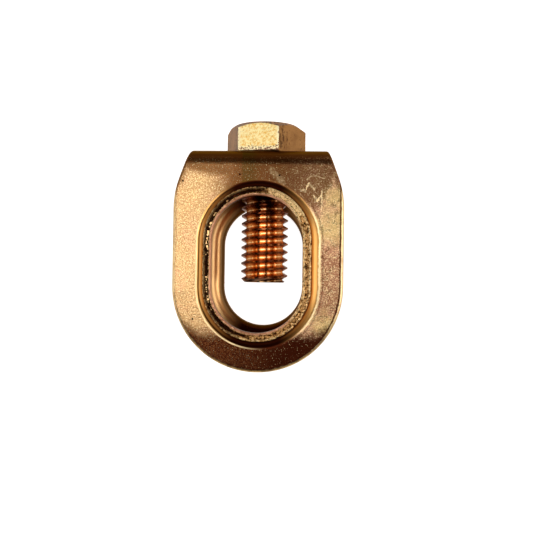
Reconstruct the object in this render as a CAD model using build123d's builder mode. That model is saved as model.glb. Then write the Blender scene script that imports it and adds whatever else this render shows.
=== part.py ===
"""Earth rod clamp: a folded copper-alloy body that slips over an earth rod, and the hex bolt that grips it.

Frame, in millimetres: the rod passes along Z, the bolt runs along Y with its head at +Y, and X is across the
plates. The origin is the axis of the rounded rod seat, on the outer rim of the back collar. The clamp lies on
that rim, so Z is up.
"""

import os
from math import cos, radians, tan

from build123d import *

os.makedirs("parts", exist_ok=True)

# Rod opening, an obround that runs along the bolt
opening_width = 17.0  # across; a 5/8 inch rod (15.9 mm) passes with room to spare
opening_length = 25.6  # from the bottom of the rod seat to the top of the opening

# Folded body
sheet = 2.2  # thickness of the sheet
plate_span = 19.4  # over the outer faces of the two plates
bend_radius = 3.2  # outside radius of the two folds
plate_radius = 16.2  # round lower end of each plate; its parallel sides are tangent to it
shoulder_inset = 3.05  # the web is this much narrower than the plates, on each side
shoulder_angle = 20.0  # slope of the shoulders, from the bolt's direction, in degrees
shoulder_radius = 17.0  # blend from the shoulders to the parallel sides
margin_above = 9.15  # from the opening to the top of the web
margin_below = 7.6  # from the opening to the plate's lower end
rolled_edge = 0.6  # rounding that the die leaves on the outer edges

# Collars pushed out of the plates around the opening
collar_height = 2.45  # stands out from the plate
collar_wall = 1.62  # thinned wall at the rim
collar_root = 1.4  # fillet between the plate and the collar
collar_entry = 3.0  # rounding that the punch leaves on the inner side
rim_edge = 0.2  # worn edges of the rim

# Tapped hole in the web
bolt_offset = 0.8  # the hole sits this far to +X of the middle
thread_clearance = 0.06  # radial gap between the bolt's crests and the hole
tapped_wall = 1.0  # wall of the neck pushed down round the hole
tapped_neck = 2.2  # the neck stands this far below the web
tapped_root = 0.4  # bevel between the neck and the web
hole_edge = 0.3  # broken edge at both ends of the hole

# Hex bolt, 3/8 inch coarse thread
bolt_diameter = 9.4  # over the thread crests
bolt_length = 25.4  # under the head
thread_pitch = 25.4 / 16
thread_runout = 1.6  # plain stretch under the head
thread_lead = thread_pitch / 2  # the groove starts this far beyond the bolt's end
thread_turn = 141.0  # and this far round the bolt, in degrees, which sets where the crests stand
thread_flank = 30.0  # slope of each side of the groove, in degrees
thread_share = 17 / 24  # of the sharp V's height, cut as deep as the standard gives
root_share = 1 / 8  # of the pitch, flat at the bottom of the groove
thread_overcut = 0.1  # the cutter stands this far out of the crests
point_chamfer = 0.75  # at the bolt's end
head_sides = 6
head_flats = 14.0  # across flats
head_height = 5.85
head_crown = 12.8  # flat circle on top of the head, inside its chamfer
head_chamfer_angle = 36.0
head_turn = -9.5  # the head has stopped this far from square to the plates

# Places that follow from the sizes
seat_radius = opening_width / 2
opening_top = opening_length - seat_radius
opening_middle = opening_length / 2 - seat_radius
web_top = opening_top + margin_above
plate_bottom = -(seat_radius + margin_below)
depth = plate_span + 2 * collar_height
middle = depth / 2
side_height = web_top - plate_bottom
bolt_radius = bolt_diameter / 2
hole_radius = bolt_radius + thread_clearance
bolt_end = web_top - bolt_length

# --- Body: one sheet, folded twice --------------------------------------------------------------------------

with BuildPart() as clamp_body:
    # Seen from the side, a strip bent down at both ends of the web
    with BuildSketch(Plane.YZ):
        with Locations((web_top, middle)):
            Rectangle(side_height, plate_span, align=(Align.MAX, Align.CENTER))
        fillet(vertices().group_by(Axis.X)[-1], bend_radius)
        with Locations((web_top - sheet, middle)):
            Rectangle(side_height, plate_span - 2 * sheet, align=(Align.MAX, Align.CENTER), mode=Mode.SUBTRACT)
    extrude(amount=plate_radius, both=True)
    inner_corners = edges().filter_by(Axis.X).filter_by_position(Axis.Y, web_top - sheet, web_top - sheet)
    fillet(inner_corners, bend_radius - sheet)

    # Seen from the front, the blank's outline: round end, parallel sides, sloping shoulders
    shoulder_run = shoulder_inset / tan(radians(shoulder_angle))
    end_middle = plate_bottom + plate_radius
    with BuildSketch():
        with BuildLine():
            side = FilletPolyline(
                (plate_radius - shoulder_inset, web_top),
                (plate_radius, web_top - shoulder_run),
                (plate_radius, end_middle),
                radius=shoulder_radius,
            )
            RadiusArc(side @ 1, (0, plate_bottom), plate_radius)
            Line(side @ 0, (0, web_top))
            Line((0, web_top), (0, plate_bottom))
        make_face()
        mirror(about=Plane.YZ)
    extrude(amount=depth, mode=Mode.INTERSECT)
    front_outline = faces().sort_by(Axis.Z)[-1].edges().sort_by(Axis.Y)[:-1]
    fillet(front_outline, rolled_edge)

    # A collar stands out of each plate
    for side_sign in (1, -1):
        outer_face = Plane(
            origin=(0, opening_middle, middle + side_sign * plate_span / 2),
            z_dir=(0, 0, side_sign),
            x_dir=(1, 0, 0),
        )
        with BuildSketch(outer_face):
            SlotOverall(opening_length + 2 * collar_wall, opening_width + 2 * collar_wall, rotation=90)
        extrude(amount=collar_height)
        root = edges(Select.LAST).group_by(Axis(outer_face.origin, outer_face.z_dir))[0]
        fillet(root, collar_root)

    # The rod opening passes through both plates and both collars
    with BuildSketch():
        with Locations((0, opening_middle)):
            SlotOverall(opening_length, opening_width, rotation=90)
    extrude(amount=depth, mode=Mode.SUBTRACT)
    mouths = edges(Select.LAST).filter_by(Axis.Z, reverse=True).group_by(Axis.Z)
    fillet(mouths[1] + mouths[-2], collar_entry)
    for rim in faces().sort_by(Axis.Z)[0], faces().sort_by(Axis.Z)[-1]:
        chamfer(rim.edges(), rim_edge)

    # A neck pushed down from the web gives the bolt enough thread
    under_web = Plane(origin=(bolt_offset, web_top - sheet, middle), x_dir=(1, 0, 0), z_dir=(0, -1, 0))
    with BuildSketch(under_web):
        Circle(hole_radius + tapped_wall)
    extrude(amount=tapped_neck)
    chamfer(edges(Select.LAST).filter_by(GeomType.CIRCLE).sort_by(Axis.Y)[-1], tapped_root)
    with BuildSketch(under_web.offset(tapped_neck)):
        Circle(hole_radius)
    extrude(amount=-(tapped_neck + sheet), mode=Mode.SUBTRACT)
    chamfer(edges(Select.LAST).filter_by(GeomType.CIRCLE), hole_edge)

clamp_body.part.label = "clamp_body"
export_step(clamp_body.part, "parts/clamp_body.step")

# --- Bolt: turned blank, hexagon head, cut thread ----------------------------------------------------------

bolt_seat = Plane(origin=(bolt_offset, web_top, middle), x_dir=(1, 0, 0), z_dir=(0, 1, 0))

with BuildPart() as clamp_bolt:
    with BuildSketch(bolt_seat):
        RegularPolygon(head_flats / 2, head_sides, major_radius=False, rotation=head_turn)
    extrude(amount=head_height)

    # The head's corners are turned off to a cone
    head_corner = head_flats / 2 / cos(radians(180 / head_sides))
    crown_drop = (head_corner - head_crown / 2) * tan(radians(head_chamfer_angle))
    axis_section = Plane(origin=bolt_seat.origin, x_dir=(1, 0, 0), z_dir=(0, 0, 1))
    with BuildSketch(axis_section):
        with BuildLine():
            Polyline(
                (0, 0),
                (head_corner, 0),
                (head_corner, head_height - crown_drop),
                (head_crown / 2, head_height),
                (0, head_height),
                close=True,
            )
        make_face()
    revolve(axis=Axis(bolt_seat.origin, bolt_seat.z_dir), mode=Mode.INTERSECT)

    with BuildSketch(bolt_seat):
        Circle(bolt_radius)
    extrude(amount=-bolt_length)
    chamfer(edges().sort_by(Axis.Y)[0], point_chamfer)

    # One V-shaped groove winds up the shank, drawn at its lower end and swept along the winding
    thread_depth = thread_share * thread_pitch / 2 / tan(radians(thread_flank))
    root_flat = root_share * thread_pitch
    groove_mouth = root_flat + 2 * (thread_depth + thread_overcut) * tan(radians(thread_flank))
    groove_bottom = bolt_end - thread_lead
    groove_top = web_top - thread_runout
    with BuildLine() as helix:
        Helix(
            thread_pitch,
            groove_top - groove_bottom,
            bolt_radius,
            center=(bolt_offset, groove_bottom, middle),
            direction=(0, 1, 0),
        )
    thread_axis = Axis((bolt_offset, groove_bottom, middle), bolt_seat.z_dir)
    winding = helix.line.rotate(thread_axis, thread_turn)
    groove_start = winding @ 0
    outward = groove_start - thread_axis.position
    with BuildSketch(Plane(origin=groove_start, x_dir=outward, z_dir=winding % 0)) as groove:
        with BuildLine():
            Polyline(
                (-thread_depth, -root_flat / 2),
                (thread_overcut, -groove_mouth / 2),
                (thread_overcut, groove_mouth / 2),
                (-thread_depth, root_flat / 2),
                close=True,
            )
        make_face()
    sweep(groove.sketch, path=winding, is_frenet=True, mode=Mode.SUBTRACT)

clamp_bolt.part.label = "clamp_bolt"
export_step(clamp_bolt.part, "parts/clamp_bolt.step")
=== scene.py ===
"""Dresses the packed earth rod clamp: tumbled bronze on the folded body, burnished bronze on the bolt."""

import logging
import math
from dataclasses import dataclass, field
from enum import Enum
from typing import Any, Sequence

import bmesh
import bpy
from mathutils import Matrix, Vector, noise

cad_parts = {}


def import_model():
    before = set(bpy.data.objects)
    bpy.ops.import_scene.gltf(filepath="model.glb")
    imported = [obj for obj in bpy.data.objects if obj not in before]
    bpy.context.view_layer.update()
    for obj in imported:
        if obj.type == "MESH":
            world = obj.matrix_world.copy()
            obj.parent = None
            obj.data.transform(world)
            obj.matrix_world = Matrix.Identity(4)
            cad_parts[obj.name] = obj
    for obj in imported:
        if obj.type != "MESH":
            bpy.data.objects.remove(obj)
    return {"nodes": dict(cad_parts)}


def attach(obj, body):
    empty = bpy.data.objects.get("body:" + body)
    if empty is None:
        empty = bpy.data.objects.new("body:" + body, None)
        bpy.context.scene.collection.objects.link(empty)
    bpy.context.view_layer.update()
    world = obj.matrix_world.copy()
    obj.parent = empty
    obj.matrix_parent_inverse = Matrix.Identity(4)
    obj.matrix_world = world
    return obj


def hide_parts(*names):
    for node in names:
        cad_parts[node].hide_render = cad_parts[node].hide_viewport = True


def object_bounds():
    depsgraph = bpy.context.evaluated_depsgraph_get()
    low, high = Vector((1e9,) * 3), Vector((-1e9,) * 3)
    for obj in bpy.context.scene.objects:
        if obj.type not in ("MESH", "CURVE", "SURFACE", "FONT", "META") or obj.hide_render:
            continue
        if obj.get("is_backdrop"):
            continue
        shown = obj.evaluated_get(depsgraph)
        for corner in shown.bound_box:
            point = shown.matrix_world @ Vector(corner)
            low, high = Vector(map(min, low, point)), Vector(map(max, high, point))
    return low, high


MM = 0.001
WELD = 0.0001  # points nearer than this, in millimetres, are one

log = logging.getLogger("earth_rod_clamp")

# A number, a vector, a colour, or the socket that gives one
Value = Any


class Side(Enum):
    """The two plates of the clamp, by the way each one faces along Z."""

    FRONT = 1
    BACK = -1


# --- Colour and node helpers ------------------------------------------------------------------------------


def linear(hex_colour: str) -> tuple[float, float, float, float]:
    """Turns an sRGB hex colour to the linear values that a shader reads.

    Args:
        hex_colour: six hex digits, such as "c88a55".

    Returns:
        Linear red, green, blue, and an alpha of 1.
    """
    channels = [int(hex_colour[i : i + 2], 16) / 255 for i in (0, 2, 4)]
    red, green, blue = [c / 12.92 if c <= 0.04045 else ((c + 0.055) / 1.055) ** 2.4 for c in channels]
    return red, green, blue, 1.0


@dataclass(frozen=True)
class Recipe:
    """What makes one kind of node.

    Attributes:
        node: type name, without "ShaderNode".
        inputs: the sockets that the values fill, in order.
        output: the socket that gives the result.
        settings: properties of the node.
    """

    node: str
    inputs: tuple[int | str, ...] = (0, 1)
    output: int | str = 0
    settings: dict[str, str] = field(default_factory=dict)


class Kind(Enum):
    """The kinds of node that the finishes and the studio use."""

    # Numbers
    ADD = Recipe("Math", settings={"operation": "ADD"})
    SUBTRACT = Recipe("Math", settings={"operation": "SUBTRACT"})
    MULTIPLY = Recipe("Math", settings={"operation": "MULTIPLY"})
    MULTIPLY_ADD = Recipe("Math", (0, 1, 2), settings={"operation": "MULTIPLY_ADD"})
    MINIMUM = Recipe("Math", settings={"operation": "MINIMUM"})
    MAXIMUM = Recipe("Math", settings={"operation": "MAXIMUM"})
    ABSOLUTE = Recipe("Math", settings={"operation": "ABSOLUTE"})
    CLAMP = Recipe("Clamp")
    # Takes a value, the values that give 0 and 1, and what they give in place of those; it eases at both ends
    RAMP = Recipe("MapRange", (0, 1, 2, 3, 4), settings={"interpolation_type": "SMOOTHSTEP"})

    # Vectors
    X = Recipe("SeparateXYZ", output=0)
    Y = Recipe("SeparateXYZ", output=1)
    Z = Recipe("SeparateXYZ", output=2)
    COMBINE = Recipe("CombineXYZ")
    LENGTH = Recipe("VectorMath", output=1, settings={"operation": "LENGTH"})
    DISTANCE = Recipe("VectorMath", output=1, settings={"operation": "DISTANCE"})
    DOT = Recipe("VectorMath", output=1, settings={"operation": "DOT_PRODUCT"})
    VECTOR_ABSOLUTE = Recipe("VectorMath", settings={"operation": "ABSOLUTE"})
    VECTOR_SUBTRACT = Recipe("VectorMath", settings={"operation": "SUBTRACT"})
    VECTOR_MULTIPLY = Recipe("VectorMath", settings={"operation": "MULTIPLY"})
    VECTOR_MULTIPLY_ADD = Recipe("VectorMath", (0, 1, 2), settings={"operation": "MULTIPLY_ADD"})
    VECTOR_SCALE = Recipe("VectorMath", (0, "Scale"), settings={"operation": "SCALE"})

    # Colours and patterns; a noise takes a place, its clouds in a millimetre, octaves, and their strength
    MIX = Recipe("Mix", (0, 6, 7), 2, {"data_type": "RGBA"})
    NOISE = Recipe("TexNoise", ("Vector", "Scale", "Detail", "Roughness"))
    NOISE_COLOUR = Recipe("TexNoise", ("Vector", "Scale"), 1)

    # Where a point is, and what looks at it
    OBJECT = Recipe("TexCoord", (), "Object")
    NORMAL = Recipe("TexCoord", (), "Normal")
    GENERATED = Recipe("TexCoord", (), "Generated")
    CAMERA_RAY = Recipe("LightPath", (), "Is Camera Ray")
    GLOSSY_RAY = Recipe("LightPath", (), "Is Glossy Ray")
    TRANSMISSION_RAY = Recipe("LightPath", (), "Is Transmission Ray")

    # Shaders
    BUMP = Recipe("Bump", ("Height", "Distance", "Strength"))
    METAL = Recipe("BsdfPrincipled", ("Base Color", "Metallic", "Roughness", "Normal", "Specular Tint"))
    MATT = Recipe("BsdfDiffuse", ("Color",))
    GLOW = Recipe("Emission", ("Strength",))
    BACKGROUND = Recipe("Background", ("Color", "Strength"))
    BOTH_SHADERS = Recipe("AddShader")
    EITHER_SHADER = Recipe("MixShader", (0, 1, 2))
    MATERIAL_OUTPUT = Recipe("OutputMaterial", ("Surface",))
    WORLD_OUTPUT = Recipe("OutputWorld", ("Surface",))


class Nodes:
    """A material's or a world's node tree, with one way to add a node."""

    def __init__(self, tree: bpy.types.NodeTree) -> None:
        """Takes the tree over, and empties it."""
        self.tree = tree
        tree.nodes.clear()

    def add(self, kind: Kind, *values: Value) -> Value:
        """Adds a node, sets its properties, and fills or links its inputs.

        Args:
            kind: what the node does.
            values: for its inputs, in order; those left out keep the node's defaults.

        Returns:
            The socket of its result, or None for an output node.
        """
        recipe = kind.value
        node = self.tree.nodes.new("ShaderNode" + recipe.node)
        for name, setting in recipe.settings.items():
            setattr(node, name, setting)
        for key, value in zip(recipe.inputs, values):
            if isinstance(value, bpy.types.NodeSocket):
                self.tree.links.new(value, node.inputs[key])
            else:
                node.inputs[key].default_value = value
        return node.outputs[recipe.output] if node.outputs else None


def new_material(name: str) -> tuple[bpy.types.Material, Nodes]:
    """Makes an empty material.

    Args:
        name: the real material, and how it was finished.

    Returns:
        The material and its nodes.
    """
    material = bpy.data.materials.new(name)
    material.use_nodes = True
    return material, Nodes(material.node_tree)


class Metal:
    """A metal that is being finished.

    Attributes:
        material: its material.
        add: adds a node to it.
        place: coordinates of a point on it, in millimetres.
        across: the point's X.
        along: its Y, which is along the bolt.
        up: its Z.
    """

    def __init__(self, name: str) -> None:
        """Makes an empty material and finds the point.

        Args:
            name: the real material, and how it was finished.
        """
        self.material, nodes = new_material(name)
        self.add = nodes.add
        self.place = self.add(Kind.VECTOR_SCALE, self.add(Kind.OBJECT), 1 / MM)
        self.across = self.add(Kind.X, self.place)
        self.along = self.add(Kind.Y, self.place)
        self.up = self.add(Kind.Z, self.place)

    def finish(self, colour: Value, roughness: Value, relief: Value, *grazing: Value) -> bpy.types.Material:
        """Closes the material.

        Args:
            colour: of the metal.
            roughness: of the metal.
            relief: height of the surface, in millimetres.
            grazing: tint of what it mirrors edge on, where that isn't white.

        Returns:
            The material.
        """
        bump = self.add(Kind.BUMP, relief, MM, 1.0)
        shader = self.add(Kind.METAL, colour, 1.0, roughness, bump, *grazing)
        self.add(Kind.MATERIAL_OUTPUT, shader)
        return self.material


# --- Camera and studio ------------------------------------------------------------------------------------


@dataclass
class Viewpoint:
    """The camera, looking down on the clamp as it lies on its back collar.

    Attributes:
        eye: place of the lens, in metres, in the clamp's frame.
        forward: direction of view.
        roll: turn of the picture about the view, in degrees.
        lens: focal length, in millimetres.
        sensor: width of the sensor, in millimetres.
    """

    eye: Vector = field(default_factory=lambda: Vector((8.34, 1.85, 152.3)) * MM)
    forward: Vector = field(default_factory=lambda: Vector((-0.0506, 0.0158, -1.0)))
    roll: float = 0.85
    lens: float = 46.9
    sensor: float = 36.0

    def build(self) -> bpy.types.Object:
        """Makes the camera and gives it to the scene.

        Returns:
            The camera's object.
        """
        data = bpy.data.cameras.new("camera")
        data.sensor_width = self.sensor
        data.lens = self.lens
        data.clip_start = 0.005
        data.clip_end = 10.0
        camera = bpy.data.objects.new("camera", data)
        back = -self.forward.normalized()
        right = Vector((0, 1, 0)).cross(back).normalized()
        upright = Matrix((right, back.cross(right), back)).transposed()
        turned = upright @ Matrix.Rotation(math.radians(self.roll), 3, "Z")
        camera.matrix_world = Matrix.Translation(self.eye) @ turned.to_4x4()
        bpy.context.scene.collection.objects.link(camera)
        bpy.context.scene.camera = camera
        return camera


@dataclass
class Lamp:
    """One soft box.

    Attributes:
        name: what it does.
        toward: direction from the clamp to the lamp.
        distance: from the clamp, in metres.
        size: width and height, in metres.
        watts: power.
        roll: turn about its own axis, in degrees.
    """

    name: str
    toward: tuple[float, float, float]
    distance: float
    size: tuple[float, float]
    watts: float
    roll: float = 0.0

    def build(self, target: Vector) -> bpy.types.Object:
        """Hangs the lamp, facing the target.

        Args:
            target: the point that it faces.

        Returns:
            The lamp's object.
        """
        data = bpy.data.lights.new(self.name, "AREA")
        data.shape = "RECTANGLE"
        data.size, data.size_y = self.size
        data.energy = self.watts
        lamp = bpy.data.objects.new(self.name, data)
        toward = Vector(self.toward).normalized()
        lamp.location = target + toward * self.distance
        across = Vector((0, 1, 0)).cross(toward).normalized()
        facing = Matrix((across, toward.cross(across), toward)).transposed()
        lamp.rotation_euler = (facing @ Matrix.Rotation(math.radians(self.roll), 3, "Z")).to_euler()
        bpy.context.scene.collection.objects.link(lamp)
        return lamp


@dataclass
class Studio:
    """A white floor, a pale world and soft boxes.

    Attributes:
        floor_width: side of the floor, in metres.
        floor_glow: how white the floor is to the camera, under what the lamps give it.
        floor_mirrored: how white the floor is in the metal.
        wall_level: how bright the room is near the floor.
        ceiling_level: how bright it is above, between the lamps.
        wall_to_ceiling: where the walls begin to dim and where the ceiling is reached, as upward parts of 1.
        paper: colour of the floor.
        room: colour of the walls and ceiling, in the metal.
        lamps: the soft boxes.
    """

    floor_width: float = 3.0
    floor_glow: float = 0.96
    floor_mirrored: float = 0.30
    wall_level: float = 0.95
    ceiling_level: float = 0.15
    wall_to_ceiling: tuple[float, float] = (0.25, 0.70)
    paper: str = "ececec"
    room: str = "b49c82"
    lamps: Sequence[Lamp] = (
        Lamp("key_box", (-0.140, 0.032, 1.0), 0.45, (0.262, 0.066), 0.213, 17.0),
        Lamp("head_box", (-0.376, 0.215, 0.903), 0.45, (0.085, 0.085), 0.24),
        Lamp("left_window", (-0.88, 0.0, 0.42), 0.45, (0.30, 0.28), 0.22),
        Lamp("right_window", (0.77, 0.0, 0.60), 0.45, (0.52, 0.28), 0.80),
    )

    def build(self, low: Vector, high: Vector) -> None:
        """Lays the floor under the clamp and hangs the lamps over it.

        Args:
            low: the clamp's lowest corner.
            high: the clamp's highest corner.
        """
        self._floor(low.z)
        self._world()
        target = (low + high) / 2
        for lamp in self.lamps:
            lamp.build(target)
        bpy.context.scene.view_settings.view_transform = "Standard"

    def _floor(self, height: float) -> None:
        """Makes the floor, white to the camera and in reflections, with the clamp's shadow on it.

        Args:
            height: of the floor along Z, in metres.
        """
        shape = bmesh.new()
        bmesh.ops.create_grid(shape, x_segments=1, y_segments=1, size=self.floor_width / 2)
        bmesh.ops.translate(shape, vec=(0.0, 0.0, height), verts=shape.verts)
        mesh = bpy.data.meshes.new("floor")
        shape.to_mesh(mesh)
        shape.free()
        floor = bpy.data.objects.new("floor", mesh)
        bpy.context.scene.collection.objects.link(floor)
        # Uncoated paper is matt, so the clamp shades it and isn't mirrored in it
        material, nodes = new_material("white_paper")
        add = nodes.add
        direct = add(Kind.MAXIMUM, add(Kind.CAMERA_RAY), add(Kind.TRANSMISSION_RAY))
        direct = add(Kind.MULTIPLY, direct, self.floor_glow)
        mirrored = add(Kind.MULTIPLY, add(Kind.GLOSSY_RAY), self.floor_mirrored)
        glow = add(Kind.GLOW, add(Kind.ADD, direct, mirrored))
        add(Kind.MATERIAL_OUTPUT, add(Kind.BOTH_SHADERS, add(Kind.MATT, linear(self.paper)), glow))
        mesh.materials.append(material)
        floor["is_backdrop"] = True

    def _world(self) -> None:
        """Makes a plain world, white to the camera; on the clamp its walls are paler than its ceiling."""
        world = bpy.data.worlds.new("studio")
        bpy.context.scene.world = world
        world.use_nodes = True
        nodes = Nodes(world.node_tree)
        add = nodes.add
        upward = add(Kind.Z, add(Kind.GENERATED))
        level = add(Kind.RAMP, upward, *self.wall_to_ceiling, self.wall_level, self.ceiling_level)
        room = add(Kind.BACKGROUND, linear(self.room), level)
        white = add(Kind.BACKGROUND, linear("ffffff"), 1.0)
        add(Kind.WORLD_OUTPUT, add(Kind.EITHER_SHADER, add(Kind.CAMERA_RAY), room, white))


# --- Finishes ---------------------------------------------------------------------------------------------


@dataclass(frozen=True)
class Opening:
    """Where the rod opening is, in millimetres, for a finish that changes round it.

    Attributes:
        span: distance between the middles of its two round ends, along Y.
        middle: half of the clamp's depth, along Z.
    """

    span: float = 8.6
    middle: float = 12.15

    def spread(self, metal: Metal) -> tuple[Value, Value]:
        """Measures from the opening.

        Args:
            metal: the metal to finish.

        Returns:
            The distance from the opening's middle line, and the height from the clamp's middle plane.
        """
        add, across, along, up = metal.add, metal.across, metal.along, metal.up
        nearest = add(Kind.MINIMUM, add(Kind.MAXIMUM, along, 0.0), self.span)
        beyond = add(Kind.SUBTRACT, along, nearest)
        distance = add(Kind.LENGTH, add(Kind.COMBINE, across, beyond))
        height = add(Kind.ABSOLUTE, add(Kind.SUBTRACT, up, self.middle))
        return distance, height


@dataclass(frozen=True)
class Patches:
    """Cloudy patches that come and go over a surface.

    Attributes:
        size: width of one patch, in millimetres.
        octaves: how many finer clouds lie on the wide ones.
        fineness: how strong the finer clouds are.
        low: the cloud's level, of 0 to 1, that gives the least.
        high: the level that gives the most.
        least: the least that comes out.
        most: the most that comes out.
    """

    size: float
    octaves: float
    fineness: float
    low: float
    high: float
    least: float = 0.0
    most: float = 1.0

    def draw(self, metal: Metal) -> Value:
        """Draws the patches on the metal, from the least to the most."""
        cloud = metal.add(Kind.NOISE, metal.place, 1 / self.size, self.octaves, self.fineness)
        return metal.add(Kind.RAMP, cloud, self.low, self.high, self.least, self.most)


@dataclass(frozen=True)
class Stripe:
    """A soft-edged stripe over a stretch of a distance, in millimetres.

    Attributes:
        start: where it begins.
        full: where it reaches its strength.
        fading: where it begins to fade.
        end: where it ends.
        strength: the most that it gives, up to 1.
    """

    start: float
    full: float
    fading: float
    end: float
    strength: float = 1.0

    def draw(self, metal: Metal, distance: Value) -> Value:
        """Draws the stripe.

        Args:
            metal: the metal to finish.
            distance: socket of the distance, in millimetres.

        Returns:
            Socket from 0 to the stripe's strength.
        """
        add = metal.add
        rising = add(Kind.RAMP, distance, self.start, self.full)
        falling = add(Kind.RAMP, distance, self.end, self.fading, 0.0, self.strength)
        return add(Kind.MULTIPLY, rising, falling)


@dataclass(frozen=True)
class Scratch:
    """One scratch on the front plate.

    Attributes:
        start: one end, X and Y in millimetres.
        end: the other end.
        width: in millimetres.
        strength: how much of the fresh metal shows.
    """

    start: tuple[float, float]
    end: tuple[float, float]
    width: float = 0.21
    strength: float = 1.0

    def draw(self, metal: Metal, flat: Value) -> Value:
        """Draws the scratch.

        Args:
            metal: the metal to finish.
            flat: socket of flattened coordinates, in millimetres.

        Returns:
            Socket from 0 to the scratch's strength.
        """
        add = metal.add
        start = Vector((*self.start, 0.0))
        run = Vector((*self.end, 0.0)) - start
        offset = add(Kind.VECTOR_SUBTRACT, flat, start)
        along = add(Kind.DOT, offset, run / run.length_squared)
        nearest = add(Kind.VECTOR_SCALE, run, add(Kind.CLAMP, along))
        gap = add(Kind.DISTANCE, offset, nearest)
        return add(Kind.RAMP, gap, self.width, self.width * 0.3, 0.0, self.strength)


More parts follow.
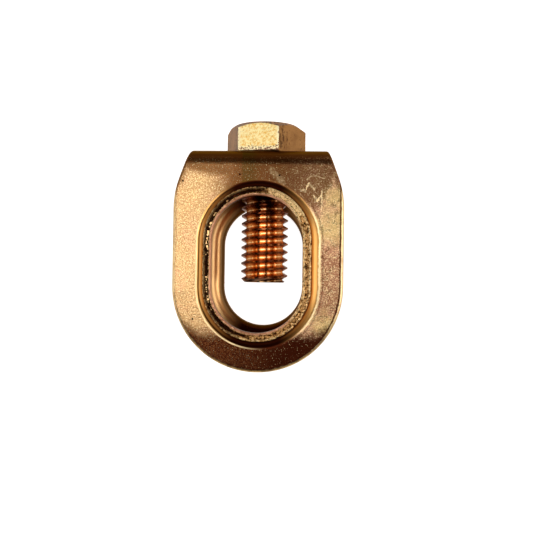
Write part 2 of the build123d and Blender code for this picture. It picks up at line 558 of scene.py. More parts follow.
@dataclass(frozen=True)
class SheetBronze:
    """Bronze sheet, blanked, folded and tumbled: a fine bright grain on the faces, brown at its ends, with
    painted shade and painted highlights.

    Attributes:
        golden: colour of the clean metal.
        rosy: colour where the copper shows through.
        tarnish_and_shade_brown: colour of the brown ends, and of the painted shade at the collars' foot, in
            their corners and deep in the hole.
        umber: colour of the brown metal and painted shade under the fold, and of the dark clouds on the right.
        olive: colour of the thin film on the fold.
        drawn: colour of the collars' smooth outer walls and roots.
        wall: colour of the smooth inner walls.
        bare_and_highlight: colour of fresh metal in a scratch, and of the painted highlights and glints.
        highlight_patch_colour: colour of the painted highlight patches.
        rosy_shade: colour of the painted shade on the right plate, a darker rosy brown.
        dusky: colour of the olive patch in the middle of the dark zone under the fold.
        dust: colour of the dirt in the dimples on the left.
        pit: colour of the deep pits.
        grazing: tint of what the metal mirrors edge on.
        satin: roughness of the metal, in wide clouds.
        film: how much is left of the film on the fold.
        shade: dark clouds on the right.
        scuffs: breaks in the scratches.
        edge_highlight_patches: how strong the painted highlight on the rounded edge is, in patches.
        grain: width of one dimple, in millimetres.
        dimple_depth: depth of the dimples, in millimetres.
        drawn_depth: depth of what is left of them on the drawn walls, in millimetres.
        wave_depth: depth of the faces' slow waviness, in millimetres.
        end_middle: height along Y of the middle of the plates' round ends, in millimetres.
        shoulder_angle: slope of the plates' shoulders, from the bolt's direction, in degrees.
        dark_zone_slant: slope of the right border of the dark zone under the fold, likewise.
        opening: where the rod opening is.
        wander: how far the scratches waver, in millimetres.
        wander_size: length of one waver, in millimetres.
        scratches: on the front plate.
        pits: middles of the black pits on the front plate, X and Y in millimetres.
        clean: middles, X and Y, and widths of the painted highlight patches on the front plate, in millimetres.
        rosy_shade_zone: stretch of that painted shade, along Y.
        dusky_zone: stretch of the olive patch, along X.
        under_lip: painted shade along the foot of the collar's wall, out from the opening's middle line.
        crease: painted shade where the collar's root begins, measured likewise.
        ridge: a painted highlight line where the root meets the face on the left.
        ring: the painted highlight ring round the collar on the right.
        shadow: the dark line round that ring.
        edge_line: the dark line inside the plates' rounded edge, out from the middle of the round end.
    """

    golden: str = "dcae76"
    rosy: str = "f4b28a"
    tarnish_and_shade_brown: str = "421a0b"
    umber: str = "5a3412"
    olive: str = "5c3a12"
    drawn: str = "dea45c"
    wall: str = "fcc888"
    bare_and_highlight: str = "fbe0a8"
    highlight_patch_colour: str = "ffd88e"
    rosy_shade: str = "a8664a"
    dusky: str = "453a10"
    dust: str = "9c6238"
    pit: str = "1c100a"
    grazing: str = "ecd2b0"
    satin: Patches = Patches(2.5, 3.0, 0.55, 0.3, 0.7, 0.28, 0.33)
    film: Patches = Patches(2.2, 4.0, 0.65, 0.3, 0.7, 0.88, 1.0)
    shade: Patches = Patches(1.7, 4.0, 0.75, 0.52, 0.66, 0.0, 0.65)
    scuffs: Patches = Patches(0.45, 2.0, 0.55, 0.36, 0.56, 0.35, 1.0)
    edge_highlight_patches: Patches = Patches(1.6, 3.0, 0.55, 0.35, 0.6, 0.5, 1.0)
    grain: float = 0.27
    dimple_depth: float = 0.042
    drawn_depth: float = 0.004
    wave_depth: float = 0.14
    end_middle: float = 0.10
    shoulder_angle: float = 20.0
    dark_zone_slant: float = 24.0
    opening: Opening = Opening()
    wander: float = 0.6
    wander_size: float = 1 / 2.2
    scratches: Sequence[Scratch] = (
        Scratch((9.07, 18.41), (9.76, 20.04)),
        Scratch((9.76, 20.04), (10.83, 18.77), strength=0.7),
        Scratch((8.26, 18.61), (8.95, 18.75), strength=0.8),
        Scratch((10.73, 17.69), (11.44, 16.53)),
        Scratch((11.44, 16.53), (12.24, 18.18)),
        Scratch((12.24, 18.42), (12.17, 15.13), 0.20),
        Scratch((11.30, 16.90), (12.05, 17.70), 0.16, 0.8),
        Scratch((9.40, 20.60), (10.60, 21.60), 0.14, 0.5),
        Scratch((10.80, 21.40), (12.60, 20.90), 0.12, 0.5),
        Scratch((2.70, 22.40), (4.99, 20.06), 0.75, 0.17),
        Scratch((12.15, 14.6), (12.2, 4.0), 0.14, 0.35),
    )
    pits: Sequence[tuple[float, float]] = ((-14.36, 19.91), (-3.61, 21.24), (3.93, 21.18), (-12.1, -6.2))
    clean: Sequence[tuple[tuple[float, float], float]] = (
        ((-12.0, 18.6), 2.8),
        ((15.0, 17.0), 4.6),
        ((13.7, 11.8), 5.2),
        ((12.2, -6.5), 4.4),
    )
    rosy_shade_zone: Stripe = Stripe(-6.5, -3.0, 5.5, 9.5, 0.62)
    dusky_zone: Stripe = Stripe(-3.25, -3.05, -1.8, 0.6, 0.60)
    under_lip: Stripe = Stripe(9.9, 10.0, 10.22, 10.42, 0.85)
    crease: Stripe = Stripe(10.98, 11.10, 11.26, 11.38, 0.75)
    ridge: Stripe = Stripe(11.42, 11.52, 11.70, 11.82, 0.8)
    ring: Stripe = Stripe(11.85, 11.98, 12.25, 12.45, 0.85)
    shadow: Stripe = Stripe(12.55, 12.65, 12.75, 12.90, 0.45)
    edge_line: Stripe = Stripe(15.50, 15.60, 15.78, 15.90)

    def build(self) -> bpy.types.Material:
        """Makes the material.

        Returns:
            The material.
        """
        # Tumbling leaves dimples under 0.1 mm wide, so the faces look satin and sparkle a little. The dimples
        # are drawn as wide as `grain`, because finer ones don't show.
        metal = Metal("tumbled_sheet_bronze")
        add = metal.add
        distance, height = self.opening.spread(metal)
        face = add(Kind.MULTIPLY, add(Kind.RAMP, distance, 11.5, 11.9), add(Kind.RAMP, height, 9.0, 9.6))
        colour = self._colour(metal, distance, height, face)
        relief = self._relief(metal, face)
        return metal.finish(colour, self.satin.draw(metal), relief, linear(self.grazing))

    def _browning_and_shade(self, metal: Metal) -> Value:
        """Finds where the metal is brown, with painted shade laid on the same places: the round end, with a
        ragged border, and under the fold.

        Args:
            metal: the metal to finish.

        Returns:
            Socket from 0, clean, to 1, brown.
        """
        add, place, across, along = metal.add, metal.place, metal.across, metal.along
        outer = add(Kind.MAXIMUM, add(Kind.ABSOLUTE, across), 11.0)
        leaning = add(Kind.MULTIPLY_ADD, outer, -0.6, add(Kind.ADD, along, 6.6))
        ragged = add(Kind.MULTIPLY_ADD, add(Kind.NOISE, place, 1 / 1.1, 5.0, 0.75), 3.6, leaning)
        low = add(Kind.RAMP, ragged, -5.2, -8.4)
        # Under the fold it ends on the left in a haze, and on the right along a slanting, ragged line
        rag = add(Kind.MULTIPLY_ADD, add(Kind.NOISE, place, 1 / 0.9, 4.0, 0.75), 2.6, -1.3)
        slant = math.radians(self.dark_zone_slant)
        right = add(Kind.DOT, place, (math.cos(slant), -math.sin(slant), 0.0))
        right = add(Kind.RAMP, add(Kind.ADD, right, rag), 5.2, 3.9)
        left = add(Kind.RAMP, add(Kind.MULTIPLY_ADD, rag, 1.5, across), -11.0, -4.0)
        under = add(Kind.MULTIPLY, add(Kind.RAMP, along, 12.0, 17.0, 0.0, 0.94), left)
        near_fold = add(
            Kind.MULTIPLY,
            add(Kind.MULTIPLY, under, right),
            add(Kind.RAMP, across, 3.0, 12.0, 1.0, 0.8),
        )
        # On the left a narrower band keeps close to the fold, and turns down beside the shoulder as painted
        # shade
        beside_fold = add(Kind.MULTIPLY_ADD, across, 0.2, add(Kind.MULTIPLY_ADD, rag, 0.6, along))
        band = add(
            Kind.MULTIPLY,
            add(Kind.RAMP, beside_fold, 18.3, 20.2, 0.0, 0.88),
            add(Kind.RAMP, across, 2.0, -2.0),
        )
        slope = math.radians(self.shoulder_angle)
        toward_shoulder = add(Kind.MULTIPLY_ADD, along, math.sin(slope), add(Kind.MULTIPLY, rag, 0.4))
        toward_shoulder = add(Kind.MULTIPLY_ADD, add(Kind.ABSOLUTE, across), math.cos(slope), toward_shoulder)
        down = add(
            Kind.MULTIPLY,
            add(Kind.RAMP, toward_shoulder, 19.8, 20.7, 0.0, 0.65),
            add(Kind.RAMP, along, 16.5, 20.0),
        )
        near_fold = add(Kind.MAXIMUM, near_fold, add(Kind.MAXIMUM, band, down))
        return add(Kind.MAXIMUM, low, near_fold)

    def _colour(self, metal: Metal, distance: Value, height: Value, face: Value) -> Value:
        """Mixes the metal's colours.

        Args:
            metal: the metal to finish.
            distance: from the opening's middle line, in millimetres.
            height: from the clamp's middle plane, in millimetres.
            face: 1 on the plates' flat faces.

        Returns:
            The colour's socket.
        """
        add, place, across, along, up = metal.add, metal.place, metal.across, metal.along, metal.up
        side = add(Kind.RAMP, across, -6.0, 10.0, 0.0, 0.75)
        cloud = add(Kind.SUBTRACT, add(Kind.NOISE, place, 1 / 3.0, 4.0, 0.55), 0.5)
        rosy = add(Kind.CLAMP, add(Kind.MULTIPLY_ADD, cloud, 2.2, side))
        colour = add(Kind.MIX, rosy, linear(self.golden), linear(self.rosy))
        # Painted highlights: bright gold patches on the front plate
        highlight_patch = 0.0
        for middle, width in self.clean:
            gap = add(Kind.DISTANCE, place, (*middle, 2 * self.opening.middle))
            gap = add(Kind.MULTIPLY_ADD, cloud, 4.0, gap)
            highlight_patch = add(Kind.MAXIMUM, highlight_patch, add(Kind.RAMP, gap, width, width * 0.4, 0.0, 0.95))
        colour = add(Kind.MIX, highlight_patch, colour, linear(self.highlight_patch_colour))
        # Painted shade: on the right, below the highlight patch, the plate turns a darker rosy brown
        rosy_shade = add(Kind.MULTIPLY_ADD, cloud, 6.0, along)
        rosy_shade = self.rosy_shade_zone.draw(metal, rosy_shade)
        rosy_shade = add(Kind.MULTIPLY, rosy_shade, add(Kind.RAMP, across, 8.0, 12.0))
        colour = add(Kind.MIX, rosy_shade, colour, linear(self.rosy_shade))
        fold = add(Kind.MULTIPLY, add(Kind.RAMP, along, 23.6, 25.2, 0.0, 0.98), self.film.draw(metal))
        colour = add(Kind.MIX, fold, colour, linear(self.olive))
        shade = add(Kind.MULTIPLY, self.shade.draw(metal), add(Kind.RAMP, across, 9.0, 12.5))
        colour = add(Kind.MIX, shade, colour, linear(self.umber))
        haze = add(Kind.RAMP, along, 1.0, 14.0, 0.0, 0.22)
        colour = add(Kind.MIX, haze, colour, linear(self.olive))
        # Brown metal with painted shade laid over it: dark at the round end, where the plate mirrors a dark
        # room, and under the fold
        browning_and_shade = self._browning_and_shade(metal)
        browned_and_shaded = add(Kind.MIX, add(Kind.RAMP, along, -2.0, 10.0), linear(self.tarnish_and_shade_brown), linear(self.umber))
        colour = add(Kind.MIX, browning_and_shade, colour, browned_and_shaded)
        dusky = self.dusky_zone.draw(metal, across)
        dusky = add(Kind.MULTIPLY, dusky, add(Kind.RAMP, along, 16.0, 18.0))
        colour = add(Kind.MIX, dusky, colour, linear(self.dusky))
        # Dimples: dark where dirt stays in them, bright where their edges catch the light
        fine = add(Kind.NOISE, place, 1 / self.grain, 2.0, 0.9)
        busy = add(Kind.RAMP, across, 2.0, 12.0, 0.04, 0.34)
        mottle = add(
            Kind.MULTIPLY_ADD,
            add(Kind.NOISE, place, 1 / 1.3, 3.0, 0.7),
            busy,
            add(Kind.MULTIPLY, busy, -0.5),
        )
        dimple = add(Kind.ADD, fine, mottle)
        dirt = add(
            Kind.MULTIPLY,
            add(Kind.RAMP, dimple, 0.48, 0.62),
            add(Kind.RAMP, across, -2.0, 9.0, 0.62, 0.42),
        )
        # Less dirt shows in the dimples under the painted highlight patches
        dirt = add(Kind.MULTIPLY, dirt, add(Kind.MULTIPLY_ADD, highlight_patch, -0.5, 1.0))
        dust = add(Kind.MIX, add(Kind.RAMP, across, -6.0, 6.0), linear(self.dust), linear(self.tarnish_and_shade_brown))
        colour = add(Kind.MIX, add(Kind.MULTIPLY, dirt, face), colour, dust)
        clean = add(Kind.SUBTRACT, 1.0, browning_and_shade)
        glint = add(Kind.MULTIPLY, add(Kind.RAMP, dimple, 0.47, 0.38), clean)
        rare = add(Kind.MULTIPLY, add(Kind.RAMP, dimple, 0.355, 0.30, 0.0, 0.85), browning_and_shade)
        glint = add(Kind.MULTIPLY, add(Kind.ADD, glint, rare), face)
        colour = add(Kind.MIX, glint, colour, linear(self.bare_and_highlight))
        colour = self._drawn(metal, distance, height, colour)
        colour = self._edges(metal, height, colour)
        flat = add(Kind.VECTOR_MULTIPLY, place, (1.0, 1.0, 0.0))
        wander = add(Kind.NOISE_COLOUR, place, 1 / self.wander_size)
        flat = add(Kind.VECTOR_MULTIPLY_ADD, wander, (self.wander, self.wander, 0.0), flat)
        front = add(Kind.RAMP, up, 21.0, 21.5)
        broken = add(Kind.MULTIPLY, front, self.scuffs.draw(metal))
        for scratch in self.scratches:
            shown = add(Kind.MULTIPLY, scratch.draw(metal, flat), broken)
            colour = add(Kind.MIX, shown, colour, linear(self.bare_and_highlight))
        for pit in self.pits:
            gap = add(Kind.DISTANCE, flat, (pit[0] + self.wander / 2, pit[1] + self.wander / 2, 0.0))
            shown = add(Kind.MULTIPLY, add(Kind.RAMP, gap, 0.26, 0.14), front)
            colour = add(Kind.MIX, shown, colour, linear(self.pit))
        return colour

    def _drawn(self, metal: Metal, distance: Value, height: Value, colour: Value) -> Value:
        """Colours the drawn wall and root of the collars: golden at the sides, with painted shade at the ends,
        at the walls' foot and deep in the hole, and painted highlights.

        Args:
            metal: the metal to finish.
            distance: from the opening's middle line, in millimetres.
            height: from the clamp's middle plane, in millimetres.
            colour: the colour so far.

        Returns:
            The colour's socket.
        """
        add, place, across, along, up = metal.add, metal.place, metal.across, metal.along, metal.up
        beside = add(Kind.RAMP, add(Kind.ABSOLUTE, across), 4.0, 9.5)
        outer = add(Kind.RAMP, height, 8.4, 9.0)
        outside = add(Kind.MULTIPLY, add(Kind.RAMP, distance, 9.6, 10.0), outer)
        # Painted shade: the inner wall turns dark brown deep in the hole, at the back collar
        inside = add(Kind.MIX, add(Kind.RAMP, up, 2.7, 4.1, 0.08, 1.0), linear(self.tarnish_and_shade_brown), linear(self.wall))
        drawn = add(Kind.MIX, outside, inside, linear(self.drawn))
        # Painted shade: the drawn surfaces turn dark brown at the opening's round ends
        drawn = add(Kind.MIX, beside, linear(self.tarnish_and_shade_brown), drawn)
        # Painted shade: a dark line where the collar's wall stands up, and another in the corner where its root
        # meets the face
        under_lip = self.under_lip.draw(metal, distance)
        under_lip = add(Kind.MULTIPLY, under_lip, outer)
        drawn = add(Kind.MIX, under_lip, drawn, linear(self.tarnish_and_shade_brown))
        colour = add(Kind.MIX, add(Kind.RAMP, distance, 11.65, 11.45), colour, drawn)
        left = add(Kind.MULTIPLY, add(Kind.RAMP, across, 2.0, -6.0), outer)
        crease = self.crease.draw(metal, distance)
        colour = add(Kind.MIX, add(Kind.MULTIPLY, crease, left), colour, linear(self.tarnish_and_shade_brown))
        # Painted highlight: a bright line where the root meets the face on the left
        ridge = self.ridge.draw(metal, distance)
        ridge = add(Kind.MULTIPLY, ridge, add(Kind.RAMP, along, 15.0, 9.0))
        colour = add(Kind.MIX, add(Kind.MULTIPLY, ridge, left), colour, linear(self.bare_and_highlight))
        # Painted highlight: a bright ring round the collar on the right, with painted shadow round it
        worn = add(Kind.MULTIPLY_ADD, add(Kind.NOISE, place, 1 / 0.9, 4.0, 0.7), 0.9, distance)
        ring = self.ring.draw(metal, worn)
        ring = add(Kind.MULTIPLY, ring, add(Kind.RAMP, across, 6.5, 10.0))
        ring = add(Kind.MULTIPLY, ring, add(Kind.RAMP, along, 16.0, 12.5))
        shadow = self.shadow.draw(metal, worn)
        shadow = add(Kind.MULTIPLY, shadow, add(Kind.RAMP, across, 6.5, 10.0))
        colour = add(Kind.MIX, shadow, colour, linear(self.tarnish_and_shade_brown))
        return add(Kind.MIX, ring, colour, linear(self.bare_and_highlight))

    def _edges(self, metal: Metal, height: Value, colour: Value) -> Value:
        """Colours the plates' outer edges: a painted highlight on the rounding, with a dark line inside it.

        Args:
            metal: the metal to finish.
            height: from the clamp's middle plane, in millimetres.
            colour: the colour so far.

        Returns:
            The colour's socket.
        """
        add, place, across, along = metal.add, metal.place, metal.across, metal.along
        below = add(Kind.MINIMUM, add(Kind.SUBTRACT, along, self.end_middle), 0.0)
        reach = add(Kind.LENGTH, add(Kind.COMBINE, across, below))
        ragged = add(Kind.MULTIPLY_ADD, add(Kind.NOISE, place, 1 / 0.8, 4.0, 0.7), 0.35, reach)
        line = self.edge_line.draw(metal, ragged)
        line = add(Kind.MULTIPLY, line, add(Kind.RAMP, across, -8.0, 8.0, 0.2, 0.9))
        colour = add(Kind.MIX, line, colour, linear(self.tarnish_and_shade_brown))
        # Painted highlight along the plates' rounded edge, in patches
        rounding = add(
            Kind.MULTIPLY,
            add(Kind.RAMP, ragged, 15.80, 15.95, 0.0, 0.9),
            add(Kind.RAMP, height, 9.0, 9.2),
        )
        rounding = add(Kind.MULTIPLY, rounding, self.edge_highlight_patches.draw(metal))
        colour = add(Kind.MIX, rounding, colour, linear(self.bare_and_highlight))
        # The blanked edge: burnished where the punch entered, torn and dull where the sheet broke
        facing = add(Kind.VECTOR_ABSOLUTE, add(Kind.NORMAL))
        beside = add(Kind.RAMP, add(Kind.ABSOLUTE, across), 12.0, 12.6)
        beside = add(Kind.MULTIPLY, beside, add(Kind.RAMP, add(Kind.X, facing), 0.5, 0.75))
        below = add(
            Kind.MULTIPLY,
            add(Kind.RAMP, along, -8.0, -8.5),
            add(Kind.RAMP, add(Kind.Z, facing), 0.5, 0.25),
        )
        streaks = add(Kind.VECTOR_MULTIPLY, place, (1.0, 1.0, 0.2))
        torn = add(Kind.MULTIPLY_ADD, add(Kind.NOISE, streaks, 1 / 0.35, 3.0, 0.7), 1.6, height)
        torn = add(Kind.MULTIPLY, add(Kind.MAXIMUM, beside, below), add(Kind.RAMP, torn, 9.7, 9.2, 0.0, 0.7))
        return add(Kind.MIX, torn, colour, linear(self.olive))

    def _relief(self, metal: Metal, face: Value) -> Value:
        """Raises the grain on the faces and leaves the drawn surfaces nearly smooth.

        Args:
            metal: the metal to finish.
            face: 1 on the plates' flat faces.

        Returns:
            The height of the surface, in millimetres.
        """
        add, place = metal.add, metal.place
        grain = add(Kind.NOISE, place, 1 / self.grain, 2.0, 0.6)
        depth = add(Kind.MULTIPLY_ADD, face, self.dimple_depth, self.drawn_depth)
        fine = add(Kind.MULTIPLY, grain, depth)
        wave = add(Kind.MULTIPLY, add(Kind.NOISE, place, 1 / 8.0, 1.0, 0.55), self.wave_depth)
        return add(Kind.ADD, fine, wave)


@dataclass(frozen=True)
class TornBronze:
    """Sheet bronze torn by the punch: crumbly fractured metal, burnished on its peaks, with painted shade deep
    in its valley.

    Attributes:
        peak: colour of the burnished peaks.
        fracture: colour of the fractured metal.
        valley: colour of the painted shade deep in the tear, and of the dirt between the crumbs and in the
            broken ridge.
        pressed: colour of the smooth inner edge.
        crumb: width of one crumb, in millimetres.
        crumb_depth: how far the crumbs stand out, in millimetres.
        roughness: of the fractured metal.
        opening: where the rod opening is.
        broken_ridge: the stretch of the rim whose outer ridge broke away, out from the opening's middle line.
    """

    peak: str = "ffe2a6"
    fracture: str = "e8a65e"
    valley: str = "2a1408"
    pressed: str = "ecb08a"
    crumb: float = 0.36
    crumb_depth: float = 0.09
    roughness: float = 0.34
    opening: Opening = Opening()
    broken_ridge: Stripe = Stripe(9.35, 9.50, 10.15, 10.30, 0.85)

    def build(self) -> bpy.types.Material:
        """Makes the material.

        Returns:
            The material.
        """
        # Each crumb of torn metal faces its own way, so it glitters in specks, with dirt between them
        metal = Metal("torn_sheet_bronze")
        add, place, across, along = metal.add, metal.place, metal.across, metal.along
        distance, height = self.opening.spread(metal)
        crumbs = add(Kind.NOISE, place, 1 / self.crumb, 3.0, 0.8)
        burnished = add(Kind.RAMP, add(Kind.MULTIPLY_ADD, crumbs, -0.5, height), 11.62, 11.92)
        colour = add(Kind.MIX, burnished, linear(self.fracture), linear(self.peak))
        # Painted shade: the tear turns near black below the floor of its valley
        deep = add(Kind.RAMP, add(Kind.MULTIPLY_ADD, crumbs, -0.25, height), 11.86, 11.70)
        colour = add(Kind.MIX, deep, colour, linear(self.valley))
        dirt = add(Kind.RAMP, crumbs, 0.54, 0.62, 0.0, 0.95)
        # On the left the outer ridge broke away, and dirt fills its place
        worn = add(Kind.MULTIPLY_ADD, crumbs, 0.6, distance)
        broken = self.broken_ridge.draw(metal, worn)
        over = add(Kind.MULTIPLY, add(Kind.RAMP, along, 14.5, 16.0), add(Kind.RAMP, across, 2.4, 1.0))
        broken = add(Kind.MULTIPLY, broken, add(Kind.MAXIMUM, add(Kind.RAMP, across, -2.0, -6.0), over))
        colour = add(Kind.MIX, add(Kind.MAXIMUM, dirt, broken), colour, linear(self.valley))
        # The inner edge was pressed smooth by the punch
        pressed = add(Kind.MULTIPLY, add(Kind.RAMP, worn, 9.25, 9.10), add(Kind.RAMP, across, 7.5, 4.5))
        colour = add(Kind.MIX, pressed, colour, linear(self.pressed))
        return metal.finish(colour, self.roughness, add(Kind.MULTIPLY, crumbs, self.crumb_depth))


@dataclass(frozen=True)
class BoltBronze:
    """Cold-headed bronze bolt: a dull film on the head, a rough sheared flat at its front with painted
    highlight, a bright cut thread with painted shade.

    Attributes:
        film: colour of the head's film.
        deep_film: colour where the film is thicker.
        cropped_highlit: colour of the rough flat, bright from its sheared finish and from painted highlight.
        honey: colour of the deeper patches of that flat.
        thread: colour at the bottom of the thread.
        flank: colour of the painted shade on the thread's flanks.
        crest: colour of the thread's worn crests.
        dirt: colour in pits and nicks, of the painted shade under the front flat, and of the darker bolt end.
        collar_shade: colour of the painted shade from the collar on the turns near the head.
        broken_edge: colour along the rough flat's broken borders.
        nick: colour in the nicks of those borders.
        crest_dirt: how much dirt the crests carry.
        film_cover: where the head's film is thicker.
        honeying: where the rough flat has its deeper colour.
        flat_depth: depth of the rough flat's grain, in millimetres, over the head's.
        head_depth: depth of the head's grain, in millimetres, over the thread's.
        thread_depth: depth of the thread's grain, in millimetres.
        head_roughness: of the filmed head.
        thread_roughness: of the cut thread.
        seat: height of the head's underside, in millimetres.
        end: height of the bolt's end, in millimetres.
        axis: the bolt's middle line, in millimetres.
        radius: of the thread's crests, in millimetres.
        flat_normal: direction that the rough flat faces.
        half_flat: half of the rough flat's width, in millimetres.
    """

    film: str = "b0804c"
    deep_film: str = "825830"
    cropped_highlit: str = "fdebae"
    honey: str = "ecb750"
    thread: str = "f0be84"
    flank: str = "a85624"
    crest: str = "40190c"
    dirt: str = "3a2414"
    collar_shade: str = "5a2612"
    broken_edge: str = "fff0c0"
    nick: str = "7a3a26"
    crest_dirt: Patches = Patches(1.3, 2.0, 0.55, 0.30, 0.50, 0.4, 0.95)
    film_cover: Patches = Patches(2.0, 3.0, 0.55, 0.35, 0.7, 0.0, 0.5)
    honeying: Patches = Patches(0.40, 4.0, 0.8, 0.44, 0.62)
    flat_depth: float = 0.055
    head_depth: float = 0.010
    thread_depth: float = 0.002
    head_roughness: float = 0.40
    thread_roughness: float = 0.18
    seat: float = 26.25
    end: float = 0.85
    axis: tuple[float, float, float] = (0.8, 0.0, 12.15)
    radius: float = 4.7
    flat_normal: tuple[float, float, float] = (-0.165, 0.0, 0.986)
    half_flat: float = 4.04

    def build(self) -> bpy.types.Material:
        """Makes the material.

        Returns:
            The material.
        """
        # Cold heading leaves the head smooth under a dull film, and the cut thread is bright enough to mirror
        # the lamps in narrow streaks
        metal = Metal("cold_headed_bolt_bronze")
        add, place, along = metal.add, metal.place, metal.along
        on_head = add(Kind.RAMP, along, self.seat - 0.1, self.seat + 0.05)
        facing = add(Kind.DOT, add(Kind.NORMAL), self.flat_normal)
        on_flat = add(Kind.MULTIPLY, add(Kind.RAMP, facing, 0.93, 0.985), on_head)
        colour = add(Kind.MIX, on_head, self._thread(metal), self._head(metal, on_flat))
        grain = add(Kind.NOISE, place, 1 / 0.32, 3.0, 0.7)
        depth = add(Kind.MULTIPLY_ADD, on_head, self.head_depth, self.thread_depth)
        depth = add(Kind.MULTIPLY_ADD, on_flat, self.flat_depth, depth)
        rough = add(Kind.RAMP, on_head, 0.0, 1.0, self.thread_roughness, self.head_roughness)
        return metal.finish(colour, rough, add(Kind.MULTIPLY, grain, depth))

    def _thread(self, metal: Metal) -> Value:
        """Colours the thread: light at its root, painted shade on its flanks and near the head, dirty on most
        of its crests.

        Args:
            metal: the metal to finish.

        Returns:
            The colour's socket.
        """
        add, place, along = metal.add, metal.place, metal.along
        radial = add(Kind.VECTOR_SUBTRACT, place, self.axis)
        radial = add(Kind.VECTOR_MULTIPLY, radial, (1.0, 0.0, 1.0))
        radius = add(Kind.LENGTH, radial)
        # Painted shade: the flanks, which face each other, are darker than the root
        flank = add(Kind.RAMP, radius, self.radius - 0.78, self.radius - 0.40, 0.0, 0.8)
        colour = add(Kind.MIX, flank, linear(self.thread), linear(self.flank))
        on_crest = add(Kind.RAMP, radius, self.radius - 0.24, self.radius - 0.04)
        worn = add(Kind.MULTIPLY, on_crest, self.crest_dirt.draw(metal))
        colour = add(Kind.MIX, worn, colour, linear(self.crest))
        # Painted shade from the collar darkens the turns nearest to the head
        colour = add(
            Kind.MIX,
            add(Kind.RAMP, along, self.end + 11.0, self.end + 16.5, 0.0, 0.7),
            colour,
            linear(self.collar_shade),
        )
        return add(
            Kind.MIX,
            add(Kind.RAMP, along, self.end + 0.85, self.end + 0.70, 0.0, 0.7),
            colour,
            linear(self.dirt),
        )

    def _head(self, metal: Metal, on_flat: Value) -> Value:
        """Colours the head: filmed and pitted, with one sheared flat made bright by its finish and by painted
        highlight, nicked along its lower edge.

        Args:
            metal: the metal to finish.
            on_flat: 1 on the cropped flat.

        Returns:
            The colour's socket.
        """
        add, place, along = metal.add, metal.place, metal.along
        from_axis = add(Kind.VECTOR_SUBTRACT, place, self.axis)
        sideways = add(Kind.DOT, from_axis, (self.flat_normal[2], 0.0, -self.flat_normal[0]))
        sideways = add(Kind.ABSOLUTE, sideways)
        # The sides are pitted most beside the corners of the front flat
        ahead = add(Kind.DOT, from_axis, self.flat_normal)
        bruised = add(Kind.RAMP, sideways, self.half_flat + 2.2, self.half_flat + 0.2, 0.0, 0.13)
        bruised = add(Kind.MULTIPLY, bruised, add(Kind.RAMP, ahead, 3.5, 5.0))
        drawn_out = add(Kind.VECTOR_MULTIPLY, place, (1.0, 0.5, 1.0))
        pits = add(Kind.ADD, add(Kind.NOISE, drawn_out, 1 / 0.42, 3.0, 0.7), bruised)
        pits = add(Kind.RAMP, pits, 0.60, 0.70, 0.0, 0.75)
        filmed = add(Kind.MIX, self.film_cover.draw(metal), linear(self.film), linear(self.deep_film))
        filmed = add(Kind.MIX, pits, filmed, linear(self.dirt))
        cropped_highlit = add(Kind.MIX, self.honeying.draw(metal), linear(self.cropped_highlit), linear(self.honey))
        # Its borders broke off ragged: pale, with dark nicks, most of them along its lower edge
        rag = add(Kind.MULTIPLY_ADD, add(Kind.NOISE, place, 1 / 0.5, 3.0, 0.7), 0.6, -0.3)
        border = add(
            Kind.RAMP,
            add(Kind.ADD, sideways, rag),
            self.half_flat - 0.55,
            self.half_flat - 0.30,
            0.0,
            0.9,
        )
        bottom = add(Kind.RAMP, add(Kind.ADD, along, rag), self.seat + 1.05, self.seat + 0.80, 0.0, 0.9)
        border = add(Kind.MAXIMUM, border, bottom)
        cropped_highlit = add(Kind.MIX, border, cropped_highlit, linear(self.broken_edge))
        low = add(Kind.RAMP, along, self.seat + 1.5, self.seat + 0.5, 0.0, 0.17)
        end = add(Kind.RAMP, sideways, self.half_flat - 0.35, self.half_flat - 0.10, 0.0, 0.12)
        nicks = add(Kind.ADD, add(Kind.NOISE, place, 1 / 0.36, 3.0, 0.7), add(Kind.MAXIMUM, low, end))
        cropped_highlit = add(Kind.MIX, add(Kind.RAMP, nicks, 0.64, 0.70, 0.0, 0.9), cropped_highlit, linear(self.nick))
        # Painted shade: a dark line along the flat's foot, where the head sits on the web
        cropped_highlit = add(
            Kind.MIX,
            add(Kind.RAMP, along, self.seat + 0.30, self.seat + 0.12),
            cropped_highlit,
            linear(self.dirt),
        )
        # Sheared finish and painted highlight: the front flat is drawn far brighter than the filmed faces
        return add(Kind.MIX, on_flat, filmed, cropped_highlit)


# --- Sub-assemblies ---------------------------------------------------------------------------------------


def settle(shape: bmesh.types.BMesh, name: str, material: bpy.types.Material) -> bpy.types.Object:
    """Makes a finished object from a shape, with its material and its place in the scene.

    Args:
        shape: the shape; it is freed.
        name: the piece's name.
        material: its finish.

    Returns:
        The piece, which rides on the clamp's body.
    """
    mesh = bpy.data.meshes.new(name)
    shape.to_mesh(mesh)
    shape.free()
    mesh.shade_smooth()
    mesh.materials.append(material)
    piece = bpy.data.objects.new(name, mesh)
    bpy.context.scene.collection.objects.link(piece)
    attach(piece, "body")
    log.info("%s: %d faces, %s", name, len(mesh.polygons), material.name)
    return piece


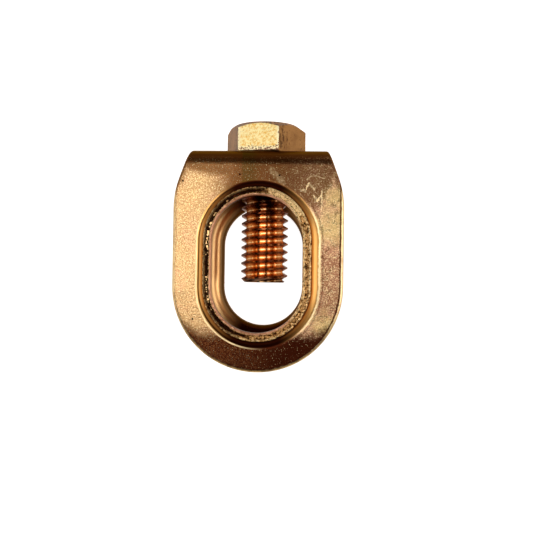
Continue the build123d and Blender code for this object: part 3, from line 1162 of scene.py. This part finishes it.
@dataclass
class FoldedBody:
    """The folded sheet, with both collars cut back a little to carry their torn lips.

    Attributes:
        cut_back: how far each rim is set back, in millimetres.
        rim_zone: what lies this near to the rim moves with it, in millimetres.
        sharp: an edge steeper than this stays sharp, in degrees.
    """

    cut_back: float = 0.50
    rim_zone: float = 0.25
    sharp: float = 32.0

    def build(self, node: bpy.types.Object, depth: float, material: bpy.types.Material) -> bpy.types.Object:
        """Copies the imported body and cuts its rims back.

        Args:
            node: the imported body.
            depth: from the back rim to the front rim, in metres.
            material: its finish.

        Returns:
            The piece.
        """
        shape = bmesh.new()
        shape.from_mesh(node.data)
        bmesh.ops.remove_doubles(shape, verts=shape.verts, dist=WELD * MM)
        for vertex in shape.verts:
            if vertex.co.z > depth - self.rim_zone * MM:
                vertex.co.z -= self.cut_back * MM
            elif vertex.co.z < self.rim_zone * MM:
                vertex.co.z += self.cut_back * MM
        piece = settle(shape, "folded_body", material)
        if "custom_normal" in piece.data.attributes:
            piece.data.attributes.remove(piece.data.attributes["custom_normal"])
        piece.data.set_sharp_from_angle(angle=math.radians(self.sharp))
        evened = piece.modifiers.new("flat_faces_stay_flat", "WEIGHTED_NORMAL")
        evened.keep_sharp = True
        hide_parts(node.name)
        return piece


@dataclass
class TornLip:
    """The torn rim of one collar, where the punch broke through: two ragged ridges with a valley between.

    Attributes:
        side: the plate that carries it.
        radius: of the opening's round ends, in millimetres.
        wall: thickness of the collar, in millimetres.
        span: distance between the middles of the opening's round ends.
        buried: how far the lip reaches down into the collar.
        valley: depth of the valley on its deeper side.
        ragged: height of the tears.
        step: length of one face along the rim.
        facet: the stretch where the tear was clean, in degrees round the upper end.
    """

    side: Side
    radius: float = 8.5
    wall: float = 1.62
    span: float = 8.6
    buried: float = 0.85
    valley: float = 0.42
    ragged: float = 0.26
    step: float = 0.14
    facet: tuple[float, float] = (31.0, 78.0)

    def build(self, rim: float, material: bpy.types.Material) -> bpy.types.Object:
        """Makes the lip.

        Args:
            rim: height of the rim along Z, in metres.
            material: its finish.

        Returns:
            The piece.
        """
        shape = bmesh.new()
        self._sweep(shape)
        for vertex in shape.verts:
            self._tear(vertex)
        flip = Matrix.Diagonal((MM, MM, MM * self.side.value, 1.0))
        bmesh.ops.transform(shape, matrix=Matrix.Translation((0, 0, rim)) @ flip, verts=shape.verts)
        bmesh.ops.recalc_face_normals(shape, faces=shape.faces)
        return settle(shape, f"{self.side.name.lower()}_torn_lip", material)

    def _section(self) -> list[tuple[float, float]]:
        """Gives the lip's section, as distances from the opening's middle line and heights over the rim.

        Returns:
            The corners, round the section.
        """
        inner, outer = self.radius, self.radius + self.wall
        return [
            (inner + 0.16, -self.buried),
            (inner - 0.01, -0.62),
            (inner + 0.04, -0.35),
            (inner + 0.16, -0.08),
            (inner + 0.28, 0.0),
            (inner + 0.46, 0.0),
            (inner + 0.58, -0.16),
            (inner + 0.72, -self.valley),
            (outer - 0.62, -self.valley),
            (outer - 0.46, -0.14),
            (outer - 0.32, 0.0),
            (outer - 0.14, 0.0),
            (outer - 0.02, -0.12),
            (outer + 0.01, -0.62),
            (outer - 0.16, -self.buried),
        ]

    def _sweep(self, shape: bmesh.types.BMesh) -> None:
        """Takes the section once round the opening, in millimetres, with the rim at height 0.

        Args:
            shape: the empty shape to fill.
        """
        corners = [shape.verts.new((distance, 0.0, height)) for distance, height in self._section()]
        for first, second in zip(corners, corners[1:] + corners[:1]):
            shape.edges.new((first, second))
        bmesh.ops.subdivide_edges(shape, edges=shape.edges, cuts=1)
        last = list(shape.verts) + list(shape.edges)
        round_steps = round(math.pi * (self.radius + self.wall / 2) / self.step)
        straight_steps = round(self.span / self.step)
        half_turn = math.pi
        legs = ((0.0, 0.0, 1.0), (half_turn, self.span, 0.0), (0.0, 0.0, -1.0), (half_turn, 0.0, 0.0))
        for turn, middle, run in legs:
            steps = round_steps if turn else straight_steps
            swept = bmesh.ops.spin(
                shape,
                geom=last,
                cent=(0.0, middle, 0.0),
                axis=(0.0, 0.0, 1.0),
                dvec=(0.0, run * self.span / steps, 0.0),
                angle=turn,
                steps=steps,
                use_merge=False,
            )
            last = swept["geom_last"]
        bmesh.ops.remove_doubles(shape, verts=shape.verts, dist=WELD)

    def _tear(self, vertex: bmesh.types.BMVert) -> None:
        """Moves one point of the smooth lip to where the tear left it.

        Args:
            vertex: the point, in millimetres.
        """
        place = vertex.co.copy()
        middle = Vector((0.0, min(max(place.y, 0.0), self.span), place.z))
        outward = (place - middle).normalized()
        bearing = math.degrees(math.atan2(place.y - self.span, place.x))
        clean = self.facet[0] < bearing < self.facet[1]
        # The wall inside stays smooth, as the punch left it
        inset = (place - middle).length - self.radius
        shown = min(1.0, max(0.0, (place.z + 0.6) / 0.3)) * min(1.0, max(0.0, (inset - 0.05) / 0.12))
        rough = shown * (0.15 if clean else 1.0)
        # The valley is deep on the left and over the top, and nearly closed on the right and below
        deep = 0.5 - 0.5 * outward.x + 0.35 * max(0.0, outward.y)
        deep = 0.25 if clean else min(1.0, max(0.4, deep + 0.5 * noise.noise(place * 0.35)))
        if place.z > -0.62:
            vertex.co.z *= deep if place.z < -0.2 else 1.0
        coarse = noise.fractal(place * 1.5 + Vector((7.0, 3.0, self.side.value)), 0.9, 2.1, 4)
        fine = noise.fractal(place * 4.0 + Vector((1.0, 9.0, self.side.value)), 0.7, 2.1, 3)
        vertex.co.z -= rough * self.ragged * min(1.0, abs(coarse) + 0.5 * abs(fine))
        vertex.co += outward * (rough * 0.13 * (coarse + fine) - 0.04 * rough)
        vertex.co.z = min(vertex.co.z, 0.0)


@dataclass
class HexBolt:
    """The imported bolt, which keeps its shape."""

    def build(self, node: bpy.types.Object, material: bpy.types.Material) -> None:
        """Dresses the bolt.

        Args:
            node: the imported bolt.
            material: its finish.
        """
        node.data.materials.clear()
        node.data.materials.append(material)
        log.info("%s: %s", node.name, material.name)


def main() -> None:
    """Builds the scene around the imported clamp."""
    logging.basicConfig(level=logging.INFO, format="%(name)s: %(message)s")
    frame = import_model()
    low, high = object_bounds()
    Viewpoint().build()
    Studio().build(Vector(low), Vector(high))
    FoldedBody().build(frame["nodes"]["clamp_body"], high[2] - low[2], SheetBronze().build())
    torn = TornBronze().build()
    TornLip(Side.FRONT).build(high[2], torn)
    TornLip(Side.BACK).build(low[2], torn)
    HexBolt().build(frame["nodes"]["clamp_bolt"], BoltBronze().build())
    low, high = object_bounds()


if __name__ == "__main__":
    main()
